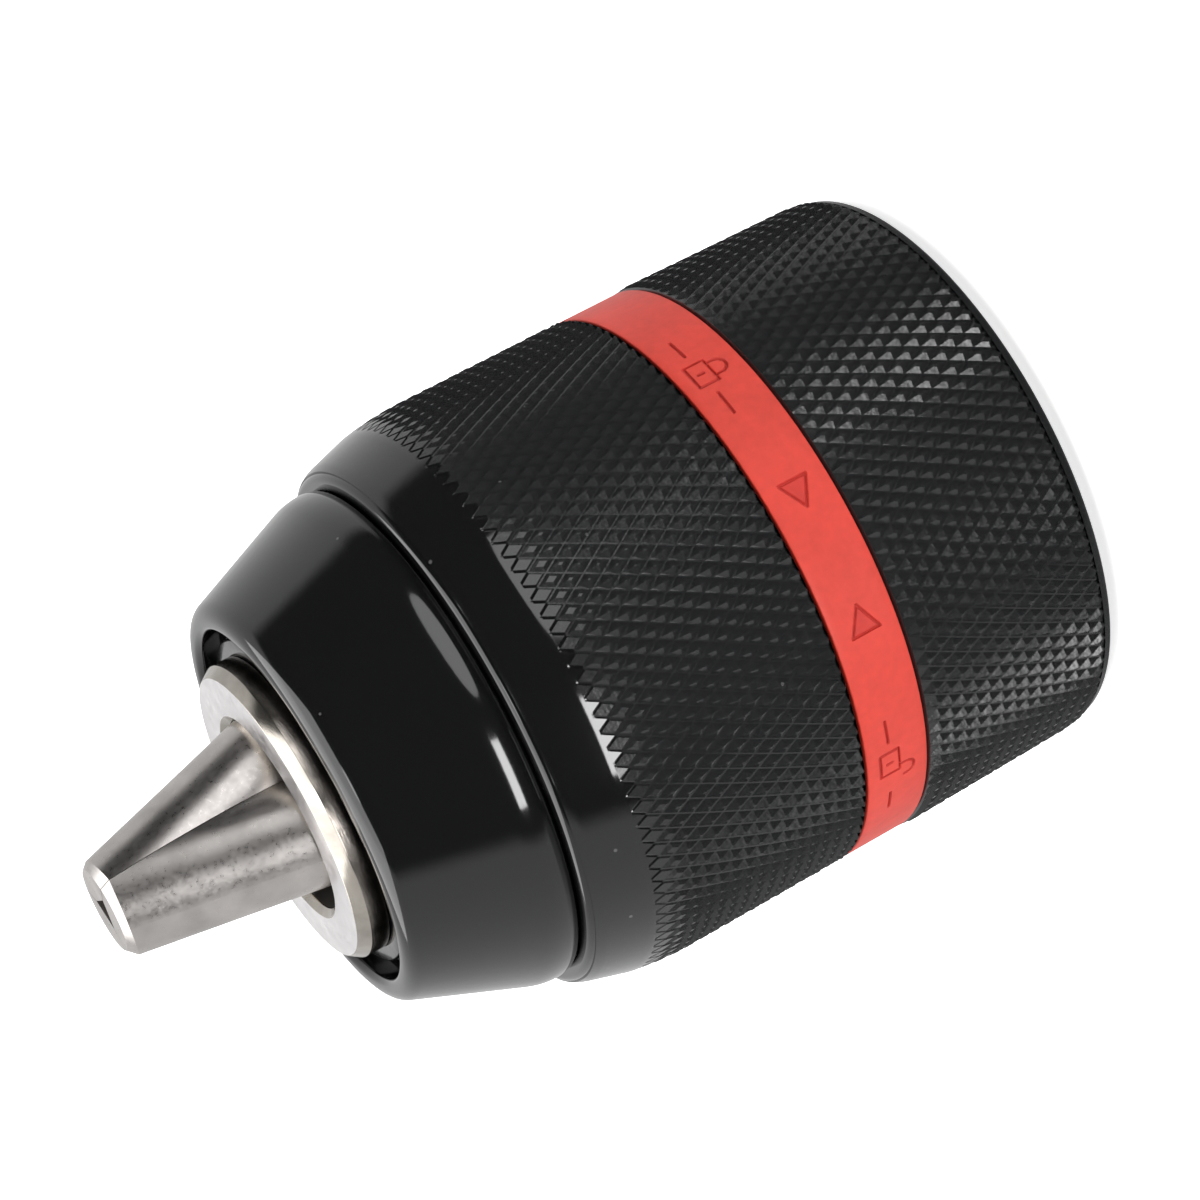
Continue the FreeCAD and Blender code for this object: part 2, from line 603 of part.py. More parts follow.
# Thrust bearing: two hardened races and a caged row of balls between flange and nut.
front_race = turned("front_race", ring_corners(
    "race_bore", "race_rad", "front_race_z", "nut_rear_z"))
rear_race = turned("rear_race", ring_corners(
    "race_bore", "race_rad", "flange_z", "rear_race_z"))
ball_z = (sheet.get("front_race_z") + sheet.get("rear_race_z")) / 2
ball_words = "(sizes.front_race_z + sizes.rear_race_z) / 2"
cage = new_body("ball_cage")
cage_section = new_sketch(cage, "cage_section", "XZ_Plane")
cage_low = (ball_z - sheet.get("cage_half"), ball_words + " - sizes.cage_half")
cage_high = (ball_z + sheet.get("cage_half"), ball_words + " + sizes.cage_half")
draw(cage_section, [
    (total("cage_bore"), cage_low), (total("cage_rad"), cage_low),
    (total("cage_rad"), cage_high), (total("cage_bore"), cage_high)])
revolve(cage, "Revolution", cage_section)
doc.recompute()
pocket_plan = new_sketch(cage, "cage_pocket", "XY_Plane")
pocket_plan.addGeometry(Part.Circle(
    FreeCAD.Vector(sheet.get("ball_track_rad"), 0, 0), FreeCAD.Vector(0, 0, 1),
    sheet.get("cage_hole_rad")), False)
pocket_plan.addConstraint(Sketcher.Constraint("PointOnObject", 0, 3, -1))
index = pocket_plan.addConstraint(Sketcher.Constraint(
    "DistanceX", -1, 1, 0, 3, sheet.get("ball_track_rad")))
pocket_plan.setExpression("Constraints[%d]" % index, "sizes.ball_track_rad")
index = pocket_plan.addConstraint(Sketcher.Constraint("Radius", 0, sheet.get("cage_hole_rad")))
pocket_plan.setExpression("Constraints[%d]" % index, "sizes.cage_hole_rad")
repeat(cage, cut_through(cage, pocket_plan, 300), int(sheet.get("ball_count")))

balls = []
for number in range(int(sheet.get("ball_count"))):
    ball = doc.addObject("Part::Sphere", "ball_%02d" % (number + 1))
    ball.setExpression("Radius", "sizes.ball_rad")
    turn = "(%d * 360deg / sizes.ball_count)" % number
    ball.setExpression("Placement.Base.x", "sizes.ball_track_rad * cos(%s)" % turn)
    ball.setExpression("Placement.Base.y", "sizes.ball_track_rad * sin(%s)" % turn)
    ball.setExpression("Placement.Base.z", ball_words)
    balls.append(ball)
bearing_balls = doc.addObject("Part::Compound", "bearing_balls")
bearing_balls.Label = "bearing_balls"
bearing_balls.Links = balls

# Ratchet ring: pressed on the flange. Each tooth has a steep face against opening and a slope
# that the pawl slides over when the chuck is tightened.
ratchet = turned("ratchet_ring", ring_corners(
    "ratchet_seat_rad", "ratchet_tip_rad", "ratchet_rear_z", "ratchet_front_z"))
gap = new_sketch(ratchet, "ratchet_gap", "XY_Plane")
draw(gap, [
    (total("ratchet_root_rad"), total("0")),
    (total("ratchet_over_rad"), total("0")),
    polar("ratchet_over_rad", "ratchet_back"),
    polar("ratchet_tip_rad", "ratchet_back"),
    polar("ratchet_root_rad", "ratchet_floor"),
])
repeat(ratchet, cut_through(ratchet, gap, 300), int(sheet.get("ratchet_count")))

# Lock pawl: a leaf that swings on its root in the nut sleeve's window. A bump outside rides the
# cam in the front shell, and its tooth drops between two ratchet teeth when locked.
leaf = ring_corners("lock_inner_rad", "lock_outer_rad", "lock_rear_z", "lock_front_z")
bump = ring_corners("lock_outer_rad - ring_gap", "bump_rad", "lock_rear_z", "lock_front_z")
pawl = new_body("lock_pawl")
sector_sketch = new_sketch(pawl, "pawl_leaf", "XZ_Plane", (), (0, 1, 0), "pawl_start")
draw(sector_sketch, leaf)
revolve(pawl, "Revolution", sector_sketch, "pawl_sweep")
eye = new_sketch(pawl, "pawl_eye", "XZ_Plane",
                 ("(sizes.lock_inner_rad + sizes.lock_outer_rad) / 2", None, None))
draw(eye, ring_corners("0", "pawl_eye_rad", "lock_rear_z", "lock_front_z"))
revolve(pawl, "Revolution", eye)
doc.recompute()
sector(pawl, "pawl_tooth", "Revolution",
       ring_corners("pawl_tip_rad", "lock_inner_rad + ring_gap", "lock_rear_z", "lock_front_z"),
       "pawl_tip_start", "pawl_tip_sweep")
sector(pawl, "pawl_bump", "Revolution", bump, "bump_start", "bump_sweep")
stand(pawl, sheet.get("pawl_at"))

# Detent spring: the leaf opposite, whose bump clicks at both ends of its groove.
detent = new_body("detent_spring")
sector_sketch = new_sketch(detent, "detent_leaf", "XZ_Plane", (), (0, 1, 0), "pawl_start")
draw(sector_sketch, leaf)
revolve(detent, "Revolution", sector_sketch, "pawl_sweep")
doc.recompute()
sector(detent, "detent_bump", "Revolution", bump, "bump_start", "bump_sweep")
stand(detent, sheet.get("detent_at"))

# Front shell: knurled steel with a smooth shoulder. Its skirt runs back under the band into the
# rear shell. Inside are the cam over the pawl, the detent's groove and the dogs' three slots.
front_shell = turned("front_shell", corners_of([
    ("shell_bore", "skirt_z"),
    ("skirt_rad", "skirt_z"),
    ("skirt_rad", "shell_rear_z"),
    ("shell_rad", "shell_rear_z"),
    ("knurl_end_rad", "knurl_end_z"),
    ("shoulder_rad", "shoulder_z"),
    ("brow_rad", "brow_z"),
    ("lip_rad", "lip_z"),
    ("lip_bore", "lip_z"),
    ("lip_bore", "lip_inner_z"),
    ("shell_bore", "lip_inner_z"),
]))
slot = sector(
    front_shell, "dog_slot", "Groove",
    ring_corners("sleeve_rad", "slot_rad", "slot_rear_z", "slot_front_z"),
    "slot_start", "slot_sweep")
repeat(front_shell, slot, 3)
sector(
    front_shell, "pawl_cam", "Groove",
    ring_corners("sleeve_bore", "cam_rad", "window_rear_z", "window_front_z"),
    "cam_start", "cam_sweep", ("sizes.cam_shift_x", None, "-sizes.cam_shift_y"))
sector(
    front_shell, "detent_track", "Groove",
    ring_corners("sleeve_bore", "track_rad", "window_rear_z", "window_front_z"),
    "track_start", "cam_sweep")
stand(front_shell, sheet.get("pawl_at"))

# Rear shell: the rear knurled part, pressed on the skirt.
rear_shell = turned("rear_shell", corners_of([
    ("rear_lip_rad", "rear_z"),
    ("rear_edge_rad", "rear_z"),
    ("rear_rear_rad", "rear_edge_z"),
    ("rear_front_rad", "rear_front_z"),
    ("skirt_rad", "rear_front_z"),
    ("skirt_rad", "skirt_z"),
    ("rear_bore", "skirt_z"),
    ("rear_bore", "rear_lip_z"),
    ("rear_lip_rad", "rear_lip_z"),
]))

# Indicator band: red ring on the skirt between the two shells.
band = turned("indicator_band", ring_corners(
    "skirt_rad", "band_rad", "band_rear_z", "band_front_z"))

# Nose cone: pressed into the nut sleeve by its shank; its land turns on the front bush.
nose_cone = turned("nose_cone", corners_of([
    ("cone_wall_rad", "shank_z"),
    ("shank_rad", "shank_z"),
    ("shank_rad", "cone_seam_z"),
    ("cone_seam_rad", "cone_seam_z"),
    ("cone_base_rad", "cone_base_z"),
    ("cone_front_rad", "cone_front_z"),
    ("cone_tip_rad", "cone_tip_z"),
    ("cone_bore", "cone_lip_z"),
    ("cone_bore", "cone_land_z"),
    ("cone_wall_rad", "cone_inner_z"),
]))

# Front bush, retaining ring and rear cover, all fixed on the body.
front_bush = turned("front_bush", ring_corners(
    "bush_bore", "bush_rad", "bush_rear_z", "bush_front_z"))
retaining_ring = new_body("retaining_ring")
ring_sketch = new_sketch(retaining_ring, "ring_section", "XZ_Plane", (), (0, 1, 0), "ring_start")
draw(ring_sketch, ring_corners(
    "ring_bore", "ring_rad", "ring_rear_z + ring_gap", "ring_front_z - ring_gap"))
revolve(retaining_ring, "Revolution", ring_sketch, "ring_sweep")
rear_cover = turned("rear_cover", ring_corners(
    "cover_bore", "cover_rad", "cover_rear_z", "cover_front_z"))

doc.recompute()

OTHER_PIECES = ("bearing_balls", "nut_half_a", "nut_half_b")
PIECES = [item for item in doc.Objects if item.Label in OTHER_PIECES
          or (item.TypeId == "PartDesign::Body" and item is not blank)]
for item in doc.Objects:
    if "Invalid" in item.State or "Error" in item.State:
        raise RuntimeError("%s is %s" % (item.Label, item.State))
for piece in PIECES:
    if piece.Shape.isNull() or not piece.Shape.isValid():
        raise RuntimeError(piece.Label + " has no valid shape")
os.makedirs("parts", exist_ok=True)
for piece in PIECES:
    piece.Shape.exportStep("parts/%s.step" % piece.Label)
    print(piece.Label, round(piece.Shape.Volume, 2), len(piece.Shape.Solids))
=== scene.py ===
import bpy, bmesh, math, random
from mathutils import Matrix, Vector


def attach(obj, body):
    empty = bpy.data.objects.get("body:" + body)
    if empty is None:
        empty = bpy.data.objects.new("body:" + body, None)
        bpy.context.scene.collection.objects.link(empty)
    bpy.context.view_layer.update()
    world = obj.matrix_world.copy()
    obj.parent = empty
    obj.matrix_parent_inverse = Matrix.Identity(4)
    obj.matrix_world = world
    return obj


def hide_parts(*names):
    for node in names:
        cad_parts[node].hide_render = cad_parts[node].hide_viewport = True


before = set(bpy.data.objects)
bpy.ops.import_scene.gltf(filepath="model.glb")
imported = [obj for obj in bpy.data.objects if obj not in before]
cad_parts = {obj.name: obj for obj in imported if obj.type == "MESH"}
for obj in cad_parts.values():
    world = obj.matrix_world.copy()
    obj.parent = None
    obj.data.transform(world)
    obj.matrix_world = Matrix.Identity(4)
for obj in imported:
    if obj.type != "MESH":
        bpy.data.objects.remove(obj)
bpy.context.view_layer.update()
scene = bpy.context.scene

# Studio: a pale floor under the chuck, a white room behind it and darkness behind the camera,
# so that the black paint stays black in the middle and turns grey towards its edges.
NEAR = math.radians(-86)
near = Vector((math.cos(NEAR), math.sin(NEAR), 0))
across = Vector((-math.sin(NEAR), math.cos(NEAR), 0))
upright = Vector((0, 0, 1))


def piece_from(name, points, faces):
    """New piece from its points and faces."""
    mesh = bpy.data.meshes.new(name)
    mesh.from_pydata(points, [], faces)
    piece = bpy.data.objects.new(name, mesh)
    scene.collection.objects.link(piece)
    return piece


FLOOR_HALF = 3.0
floor_corners = [(a * FLOOR_HALF, b * FLOOR_HALF, 0) for a, b in ((-1, -1), (1, -1), (1, 1), (-1, 1))]
floor = piece_from("floor", floor_corners, [(0, 1, 2, 3)])
floor_paint = bpy.data.materials.new("pale_floor")
floor_paint.use_nodes = True
shader = floor_paint.node_tree.nodes["Principled BSDF"]
shader.inputs["Base Color"].default_value = (0.93, 0.93, 0.93, 1)
shader.inputs["Roughness"].default_value = 0.9
shader.inputs["Specular IOR Level"].default_value = 0.1
shader.inputs["Emission Color"].default_value = (1, 1, 1, 1)
shader.inputs["Emission Strength"].default_value = 0.72
floor.data.materials.append(floor_paint)
floor.visible_glossy = False

scene.view_settings.view_transform = "Standard"
room = bpy.data.worlds.new("room")
scene.world = room
room.use_nodes = True
tree = room.node_tree
tree.nodes.clear()
world_out = tree.nodes.new("ShaderNodeOutputWorld")
glow = tree.nodes.new("ShaderNodeBackground")
where = tree.nodes.new("ShaderNodeTexCoord")
DARK, LIGHT, BELOW = 0.05, 0.9, 0.25
LIT_WALLS = (190, -151)
WALL_FADE = (-0.10, 0.08)
DIM_BELOW = (-0.62, -0.30)
sides = []
for border in LIT_WALLS:
    angle = math.radians(border)
    facing = tree.nodes.new("ShaderNodeVectorMath")
    facing.operation = "DOT_PRODUCT"
    facing.inputs[1].default_value = near * math.cos(angle) + across * math.sin(angle)
    soft = tree.nodes.new("ShaderNodeMapRange")
    soft.interpolation_type = "SMOOTHSTEP"
    soft.inputs["From Min"].default_value = WALL_FADE[0]
    soft.inputs["From Max"].default_value = WALL_FADE[1]
    tree.links.new(where.outputs["Generated"], facing.inputs[0])
    tree.links.new(facing.outputs["Value"], soft.inputs["Value"])
    sides.append(soft)
walls = tree.nodes.new("ShaderNodeMath")
walls.operation = "MAXIMUM"
level = tree.nodes.new("ShaderNodeMapRange")
level.inputs["To Min"].default_value = DARK
level.inputs["To Max"].default_value = LIGHT
tree.links.new(sides[0].outputs[0], walls.inputs[0])
tree.links.new(sides[1].outputs[0], walls.inputs[1])
tree.links.new(walls.outputs[0], level.inputs["Value"])
height = tree.nodes.new("ShaderNodeSeparateXYZ")
under = tree.nodes.new("ShaderNodeMapRange")
under.interpolation_type = "SMOOTHSTEP"
under.inputs["From Min"].default_value = DIM_BELOW[0]
under.inputs["From Max"].default_value = DIM_BELOW[1]
under.inputs["To Min"].default_value = BELOW
dimmed = tree.nodes.new("ShaderNodeMath")
dimmed.operation = "MULTIPLY"
tree.links.new(where.outputs["Generated"], height.inputs[0])
tree.links.new(height.outputs["Z"], under.inputs["Value"])
tree.links.new(level.outputs[0], dimmed.inputs[0])
tree.links.new(under.outputs[0], dimmed.inputs[1])
tree.links.new(dimmed.outputs[0], glow.inputs["Strength"])
tree.links.new(glow.outputs[0], world_out.inputs["Surface"])
AIM = Vector((0, 0, 0.03))


def softbox(name, azimuth, height, away, size, glare, shape="RECTANGLE"):
    """A lit card aimed at the chuck. azimuth is in degrees from the near side, height is the sine
    of its elevation, away and size are in metres and glare is its brightness."""
    lamp = bpy.data.lights.new(name, "AREA")
    lamp.shape = shape
    lamp.size, lamp.size_y = size
    lamp.energy = glare * math.pi * size[0] * size[1]
    box = bpy.data.objects.new(name, lamp)
    angle, rise = math.radians(azimuth), math.asin(height)
    level_way = near * math.cos(angle) + across * math.sin(angle)
    outward = level_way * math.cos(rise) + upright * math.sin(rise)
    box.location = AIM + outward * away
    side = upright.cross(outward).normalized() if abs(height) < 0.99 else across
    box.matrix_world = Matrix.Translation(box.location) @ Matrix(
        (side, outward.cross(side), outward)).transposed().to_4x4()
    scene.collection.objects.link(box)


softbox("strip_softbox", -29, 0.05, 1.0, (0.55, 0.20), 12)
softbox("dim_softbox", 30, -0.08, 1.0, (0.95, 0.46), 1.9, "ELLIPSE")
softbox("lip_softbox", -4, 0.76, 1.0, (0.30, 0.14), 3.2, "ELLIPSE")
softbox("top_softbox", 0, 1.0, 1.2, (2.0, 2.0), 2.6)

# Camera: level with the middle of the sleeve, a little above and in front of it, and rolled.
camera_data = bpy.data.cameras.new("camera")
camera_data.sensor_width = 36
camera_data.lens = 111.951
camera_data.clip_start = 0.01
camera = bpy.data.objects.new("camera", camera_data)
scene.collection.objects.link(camera)
scene.camera = camera
SLANT, AWAY = math.radians(72.105), 0.26137
PAN, TILT, ROLL = math.radians(-0.255), math.radians(0.593), math.radians(28.27)
middle = Vector((0, 0, 0.027))
out = near * math.sin(SLANT) + upright * math.cos(SLANT)
rightward = near * math.cos(SLANT) - upright * math.sin(SLANT)
ahead = -out * math.cos(PAN) + rightward * math.sin(PAN)
rightward = out * math.sin(PAN) + rightward * math.cos(PAN)
lift = across
ahead, lift = ahead * math.cos(TILT) + lift * math.sin(TILT), lift * math.cos(TILT) - ahead * math.sin(TILT)
right_axis = rightward * math.cos(ROLL) - lift * math.sin(ROLL)
up_axis = rightward * math.sin(ROLL) + lift * math.cos(ROLL)
camera.matrix_world = Matrix.Translation(middle + out * AWAY) @ Matrix(
    (right_axis, up_axis, -ahead)).transposed().to_4x4()


# Nose cone: turned steel under glossy black paint, pressed into the nut's sleeve by its shank.
# Its lip is rolled in round the body's rim.
def at(radius, angle, z):
    """A point in metres from a radius and height in millimetres."""
    return radius * math.cos(angle) / 1000, radius * math.sin(angle) / 1000, z / 1000


def piece_from_shape(name, shape):
    """New piece from a finished bmesh, which is freed."""
    mesh = bpy.data.meshes.new(name)
    shape.to_mesh(mesh)
    shape.free()
    piece = bpy.data.objects.new(name, mesh)
    scene.collection.objects.link(piece)
    return piece


def finish_with(piece, *finishes):
    """Gives a piece its materials. Clearing sets every face back to the first one."""
    piece.data.materials.clear()
    for finish in finishes:
        piece.data.materials.append(finish)


def turn_on_lathe(name, outline, facets=256):
    """Closed ring turned from an outline of (radius, height) points in millimetres."""
    shape = bmesh.new()
    rings = []
    for k in range(facets):
        angle = 2 * math.pi * k / facets
        rings.append([shape.verts.new(at(r, angle, z)) for r, z in outline])
    count = len(outline)
    for k in range(facets):
        here, there = rings[k], rings[(k + 1) % facets]
        for i in range(count):
            j = (i + 1) % count
            shape.faces.new((here[i], there[i], there[j], here[j]))
    bmesh.ops.recalc_face_normals(shape, faces=shape.faces)
    return piece_from_shape(name, shape)


def smooth_but_corners(piece, degrees=30):
    """Smooth shading that keeps corners sharper than an angle."""
    for face in piece.data.polygons:
        face.use_smooth = True
    piece.data.set_sharp_from_angle(angle=math.radians(degrees))


def bend(middle_r, middle_z, radius, start, stop, steps=8):
    """Points of a round corner about (r, z), from one angle to another in degrees."""
    points = []
    for k in range(steps + 1):
        angle = math.radians(start + (stop - start) * k / steps)
        points.append((middle_r + radius * math.cos(angle), middle_z + radius * math.sin(angle)))
    return points


def black_gloss(name, roughness=0.10, peel=0.02, shade=0.0042, fineness=900, coat=0.35):
    """Glossy black enamel with a few specks of dust. peel is the strength of its orange peel,
    fineness the scale of that, shade its grey and coat the weight of the lacquer over it."""
    paint = bpy.data.materials.new(name)
    paint.use_nodes = True
    nodes, links = paint.node_tree.nodes, paint.node_tree.links
    shader = nodes["Principled BSDF"]
    shader.inputs["IOR"].default_value = 1.5
    shader.inputs["Coat Weight"].default_value = coat
    shader.inputs["Coat Roughness"].default_value = 0.06
    place = nodes.new("ShaderNodeTexCoord")
    dust = nodes.new("ShaderNodeTexVoronoi")
    dust.inputs["Scale"].default_value = 260
    speck = nodes.new("ShaderNodeMath")
    speck.operation = "LESS_THAN"
    speck.inputs[1].default_value = 0.035
    colour = nodes.new("ShaderNodeMix")
    colour.data_type = "RGBA"
    colour.inputs["A"].default_value = (shade, shade * 1.03, shade * 1.06, 1)
    colour.inputs["B"].default_value = (0.06, 0.06, 0.06, 1)
    smears = nodes.new("ShaderNodeTexNoise")
    smears.inputs["Scale"].default_value = 90
    smears.inputs["Detail"].default_value = 4
    sheen = nodes.new("ShaderNodeMapRange")
    sheen.inputs["From Min"].default_value = 0.3
    sheen.inputs["From Max"].default_value = 0.7
    sheen.inputs["To Min"].default_value = roughness * 0.85
    sheen.inputs["To Max"].default_value = roughness * 1.25
    ripple = nodes.new("ShaderNodeTexNoise")
    ripple.inputs["Scale"].default_value = fineness
    ripple.inputs["Detail"].default_value = 1
    bump = nodes.new("ShaderNodeBump")
    bump.inputs["Strength"].default_value = peel
    bump.inputs["Distance"].default_value = 0.0002
    for texture in (dust, smears, ripple):
        links.new(place.outputs["Object"], texture.inputs["Vector"])
    links.new(dust.outputs["Distance"], speck.inputs[0])
    links.new(speck.outputs[0], colour.inputs["Factor"])
    links.new(colour.outputs["Result"], shader.inputs["Base Color"])
    links.new(smears.outputs["Fac"], sheen.inputs["Value"])
    links.new(sheen.outputs[0], shader.inputs["Roughness"])
    links.new(ripple.outputs["Fac"], bump.inputs["Height"])
    links.new(bump.outputs["Normal"], shader.inputs["Normal"])
    return paint


cone_outline = [(16.8, 36.9), (18.0, 36.9), (18.0, 43.3)]
cone_outline += bend(18.26, 43.62, 0.36, -90, -5, 6)
cone_outline += [(18.71, 43.95)]
cone_outline += bend(13.72, 44.05, 5.0, 0, 22.6, 10)
cone_outline += bend(14.0, 52.945, 1.37, 22.6, 90, 12)
cone_outline += bend(13.8, 53.815, 0.5, 95, 185, 7)
cone_outline += [(13.32, 53.5), (13.4, 53.0), (13.4, 49.8), (16.8, 44.5)]
nose_cone = turn_on_lathe("nose_cone_painted", cone_outline)
smooth_but_corners(nose_cone, 35)
enamel = black_gloss("black_enamel")
finish_with(nose_cone, enamel)
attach(nose_cone, "nut")
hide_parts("nose_cone")

# Knurled shells: turned steel, diamond knurled by two crossing cuts, then painted black. The
# front one runs out into a smooth shoulder, the rear one ends in a rounded edge.
# Sizes are in millimetres. RISE is the height of a diamond, FLOOR half the width of a cut's floor
# as a share of a diamond, and BLUNTEST to SHARPEST how far up a diamond's facets may run.
STARTS = 110
HELIX = math.radians(30)
KNURL_RAD = 21.35
RISE = 2 * math.pi * KNURL_RAD / STARTS / math.tan(HELIX)
CUT_DEPTH = 0.40
FLOOR = 0.05
WOBBLE = 0.014
BLUNTEST, SHARPEST = 0.02, 0.86
END_CHAMFER = 0.12


def square(left, low, right, high):
    """Corners of a square in turn."""
    return (left, low), (right, low), (right, high), (left, high)


def knurled_skin(name, low, high, crest, blank, cut, seed):
    """Knurled surface from height low to high. crest, blank and cut give, by height, the radius of
    whole tips, the radius before knurling and the share of the depth that is cut. Each diamond has
    four facets and a flat tip, and narrow floors of the crossing cuts lie between the diamonds."""
    dice = random.Random(seed)
    shape = bmesh.new()
    found = {}

    def corner(u, v, sunk, lift=0.0):
        turns = math.floor((u + v) / (2 * STARTS))
        key = (round((u - turns * STARTS) * 1000), round((v - turns * STARTS) * 1000))
        if key not in found:
            angle = math.pi * (u + v) / STARTS
            z = (u - v) / 2 * RISE
            radius = min(blank(z), crest(z) - sunk * cut(z)) + lift
            found[key] = shape.verts.new(at(radius, angle, z))
        return found[key]

    first, last = math.floor(low / RISE * 2) - 2, math.ceil(high / RISE * 2) + 2
    for row in range(first, last + 1):
        for place in range(row % 2, 2 * STARTS, 2):
            i, j = (place + row) // 2, (place - row) // 2
            z = row / 2 * RISE
            left = min(blank(z), crest(z)) - crest(z) + CUT_DEPTH
            slope = min(max(left / CUT_DEPTH, BLUNTEST), SHARPEST)
            top = FLOOR + (0.5 - FLOOR) * slope
            lift = dice.uniform(-WOBBLE, WOBBLE) * min(1, slope * 2)
            base = [corner(i + a, j + b, CUT_DEPTH) for a, b in square(FLOOR, FLOOR, 1 - FLOOR, 1 - FLOOR)]
            tips = [corner(i + a, j + b, CUT_DEPTH * (1 - slope), lift)
                    for a, b in square(top, top, 1 - top, 1 - top)]
            shape.faces.new(tips)
            for k in range(4):
                m = (k + 1) % 4
                shape.faces.new((base[k], base[m], tips[m], tips[k]))
            for sides in ((-FLOOR, -FLOOR, FLOOR, FLOOR), (FLOOR, -FLOOR, 1 - FLOOR, FLOOR),
                          (-FLOOR, FLOOR, FLOOR, 1 - FLOOR)):
                shape.faces.new([corner(i + a, j + b, CUT_DEPTH) for a, b in square(*sides)])
    trims = [(low + END_CHAMFER, -1, False), (high - END_CHAMFER, 1, False)]
    trims += [(low, -1, True), (high, 1, True)]
    for height, way, clear in trims:
        everything = shape.verts[:] + shape.edges[:] + shape.faces[:]
        bmesh.ops.bisect_plane(shape, geom=everything, plane_co=(0, 0, height / 1000),
                               plane_no=(0, 0, way), clear_outer=clear, dist=1e-8)
    bmesh.ops.delete(shape, geom=[p for p in shape.verts if not p.link_faces], context="VERTS")
    for point in shape.verts:
        z = point.co.z * 1000
        radius = math.hypot(point.co.x, point.co.y) * 1000
        most = blank(z)
        if radius > most:
            point.co.x *= most / radius
            point.co.y *= most / radius
    return piece_from_shape(name, shape)


def open_turned(name, outline, facets=440):
    """Turned surface from an open outline."""
    points, faces = [], []
    count = len(outline)
    for k in range(facets):
        points += [at(r, 2 * math.pi * k / facets, z) for r, z in outline]
    for k in range(facets):
        here, there = k * count, (k + 1) % facets * count
        faces += [(here + i, there + i, there + i + 1, here + i + 1) for i in range(count - 1)]
    piece = piece_from(name, points, faces)
    smooth_but_corners(piece, 30)
    return piece


def join(first, *others):
    """Joins pieces into the first one."""
    with bpy.context.temp_override(active_object=first, selected_editable_objects=[first, *others]):
        bpy.ops.object.join()
    return first


FRONT_LOW, FRONT_HIGH = 22.05, 38.9
FRONT_RAD, FRONT_CREST = 21.35, 21.38
RUNOUT_FROM, RUNOUT_CURVE = 34.2, 0.0192
FRONT_CUT_END, CUT_FADE = 38.35, 0.3
BAND_EDGE_RISE = 1.1


def front_blank(z):
    """Radius of the front shell before knurling."""
    if z < FRONT_LOW + END_CHAMFER:
        return 21.22 + (z - FRONT_LOW) * BAND_EDGE_RISE
    return FRONT_RAD - RUNOUT_CURVE * max(0, z - RUNOUT_FROM) ** 2


def front_crest(z):
    """Radius of the front shell's knurl tips, were they whole: the same at any height."""
    return FRONT_CREST


def front_cut(z):
    """Share of the depth that is cut: the knurl stops short of the shoulder."""
    return min(1, max(0, (FRONT_CUT_END - z) / CUT_FADE))


front_skin = knurled_skin("front_shell_knurled", FRONT_LOW, FRONT_HIGH, front_crest, front_blank,
                          front_cut, 7)
shoulder = [(front_blank(FRONT_HIGH), FRONT_HIGH), (20.89, 39.1), (20.83, 39.35), (20.05, 42.0)]
shoulder += [(19.92, 42.35), (19.7, 42.72)]
shoulder += bend(19.0, 42.55, 0.6, 12, 90, 8)
shoulder += [(18.5, 43.15), (18.32, 43.0), (18.3, 41.2), (19.6, 41.15)]
shoulder += [(19.6, 12.5), (20.15, 12.5), (20.15, 21.9)]
shoulder += [(20.9, 21.9), (front_blank(FRONT_LOW), FRONT_LOW)]
front_shell = join(front_skin, open_turned("front_shoulder", shoulder))
smooth_but_corners(front_shell, 16)
knurl_paint = black_gloss("black_knurl_paint", 0.22, 0.08, 0.012, 2400, 0.15)
finish_with(front_shell, knurl_paint, enamel)
SHOULDER_FROM = 38.3
for face in front_shell.data.polygons:
    face.material_index = 1 if face.center.z > SHOULDER_FROM / 1000 else 0
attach(front_shell, "sleeve")
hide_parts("front_shell")


REAR_LOW, REAR_HIGH = 1.75, 16.75
REAR_START, REAR_RAD, REAR_CREST, REAR_SWELL = 2.0, 21.20, 21.29, 0.0155
ROUND_FROM, ROUND_CURVE = 2.5, 0.45
REAR_CUT_END = 1.8


def rear_blank(z):
    """Radius of the rear shell before knurling, rounded at both ends."""
    plain = REAR_RAD + (z - REAR_START) * REAR_SWELL
    if z < ROUND_FROM:
        return plain - ROUND_CURVE * (ROUND_FROM - z) ** 2
    return min(plain, 21.3 + (REAR_HIGH - z) * BAND_EDGE_RISE)


def rear_crest(z):
    """Radius of the rear shell's knurl tips, were they whole."""
    return REAR_CREST + (z - REAR_START) * REAR_SWELL


def rear_cut(z):
    """Share of the depth that is cut: the knurl stops short of the rear edge."""
    return min(1, max(0, (z - REAR_CUT_END) / CUT_FADE))


rear_skin = knurled_skin("rear_shell_knurled", REAR_LOW, REAR_HIGH, rear_crest, rear_blank, rear_cut, 11)
edge = [(rear_blank(REAR_HIGH), REAR_HIGH), (20.95, 16.9), (20.2, 16.9), (20.2, 12.5)]
edge += [(19.75, 12.5), (19.75, 2.6), (18.9, 2.6), (18.9, 1.15)]
edge += [(19.05, 1.0), (20.2, 1.0)]
edge += bend(20.35, 1.55, 0.55, -80, -15, 6)
edge += [(rear_blank(REAR_LOW), REAR_LOW)]
rear_shell = join(rear_skin, open_turned("rear_edge", edge))
smooth_but_corners(rear_shell, 16)
finish_with(rear_shell, knurl_paint)
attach(rear_shell, "sleeve")
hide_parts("rear_shell")

# Indicator band: moulded red plastic ring between the two shells, with its marks sunk into it:
# two triangles that show the turning directions, a shut padlock and an open one.
BAND_RAD, BAND_REAR, BAND_FRONT = 21.26, 16.98, 21.85
BAND_MIDDLE = (BAND_REAR + BAND_FRONT) / 2
STROKE, STROKE_EDGE, MARK_DEPTH, PATCH_DEPTH = 0.085, 0.03, 0.17, 0.045


